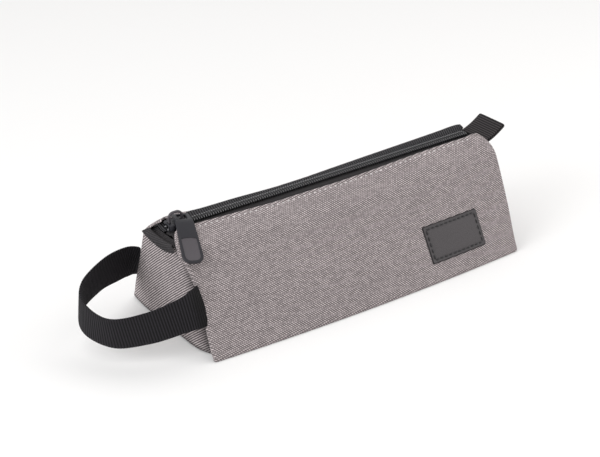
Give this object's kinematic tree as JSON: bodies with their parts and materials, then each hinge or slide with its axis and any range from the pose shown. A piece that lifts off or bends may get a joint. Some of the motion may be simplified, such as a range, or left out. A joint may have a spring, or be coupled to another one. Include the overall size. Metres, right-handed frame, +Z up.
{
  "type": "triangle pencil case",
  "caption": "Zipped fabric pencil case with a wide base and sloping sides, a webbing carry loop at one end, an end tab and a hanging metal pull.",
  "frame": {"origin": "centre of the base panel's underside, on the surface that the case stands on", "axes": "+X along the case from the closed end of the zip and the carry loop to the end tab, -Y the front with the label, +Z up"},
  "size_m": [0.2801, 0.101, 0.0697],
  "materials": {
    "grey_fabric": "matt woven polyester with a visible twill line",
    "black_fabric": "matt woven tape",
    "black_nylon": "satin",
    "black_webbing": "ribbed webbing",
    "dark_metal": "satin",
    "label_hide": "matt"
  },
  "bodies": {
    "case": {"base_panel": "grey_fabric", "front_panel": "grey_fabric", "back_panel": "grey_fabric", "left_end_wall": "grey_fabric", "right_end_wall": "grey_fabric", "left_zip_end_band": "black_fabric", "right_zip_end_band": "black_fabric", "left_seam_binding": "black_fabric", "right_seam_binding": "black_fabric", "front_zip_tape": "black_fabric", "back_zip_tape": "black_fabric", "front_zip_coil": "black_nylon", "back_zip_coil": "black_nylon", "label_patch": "label_hide"},
    "slider": {"slider_body": "dark_metal", "slider_crown": "dark_metal"},
    "pull": {"pull_tab": "dark_metal"},
    "loop": {"handle_strap": "black_webbing"},
    "tab": {"end_tab": "black_webbing"}
  },
  "joints": [
    {"name": "zip_slide", "type": "slide", "parent": "case", "child": "slider", "axis": [1, 0, 0], "range_m": [0, 0.185], "deforming": ["front_zip_coil", "back_zip_coil"]},
    {"name": "pull_lift", "type": "hinge", "parent": "slider", "child": "pull", "pos_m": [-0.09236, 0.00208, 0.06531], "axis": [-0.9659, 0.2107, 0.1503], "range_deg": [0, 26]},
    {"name": "loop_lift", "type": "hinge", "parent": "case", "child": "loop", "pos_m": [-0.1064, 0, 0.0275], "axis": [0, 1, 0], "range_deg": [-14, 50], "stiffness_Nm_per_rad": 0.05, "deforming": ["handle_strap"]},
    {"name": "tab_flex", "type": "hinge", "parent": "case", "child": "tab", "pos_m": [0.10774, 0, 0.05709], "axis": [0, -1, 0], "range_deg": [-45, 45], "stiffness_Nm_per_rad": 0.01, "deforming": ["end_tab"]}
  ]
}
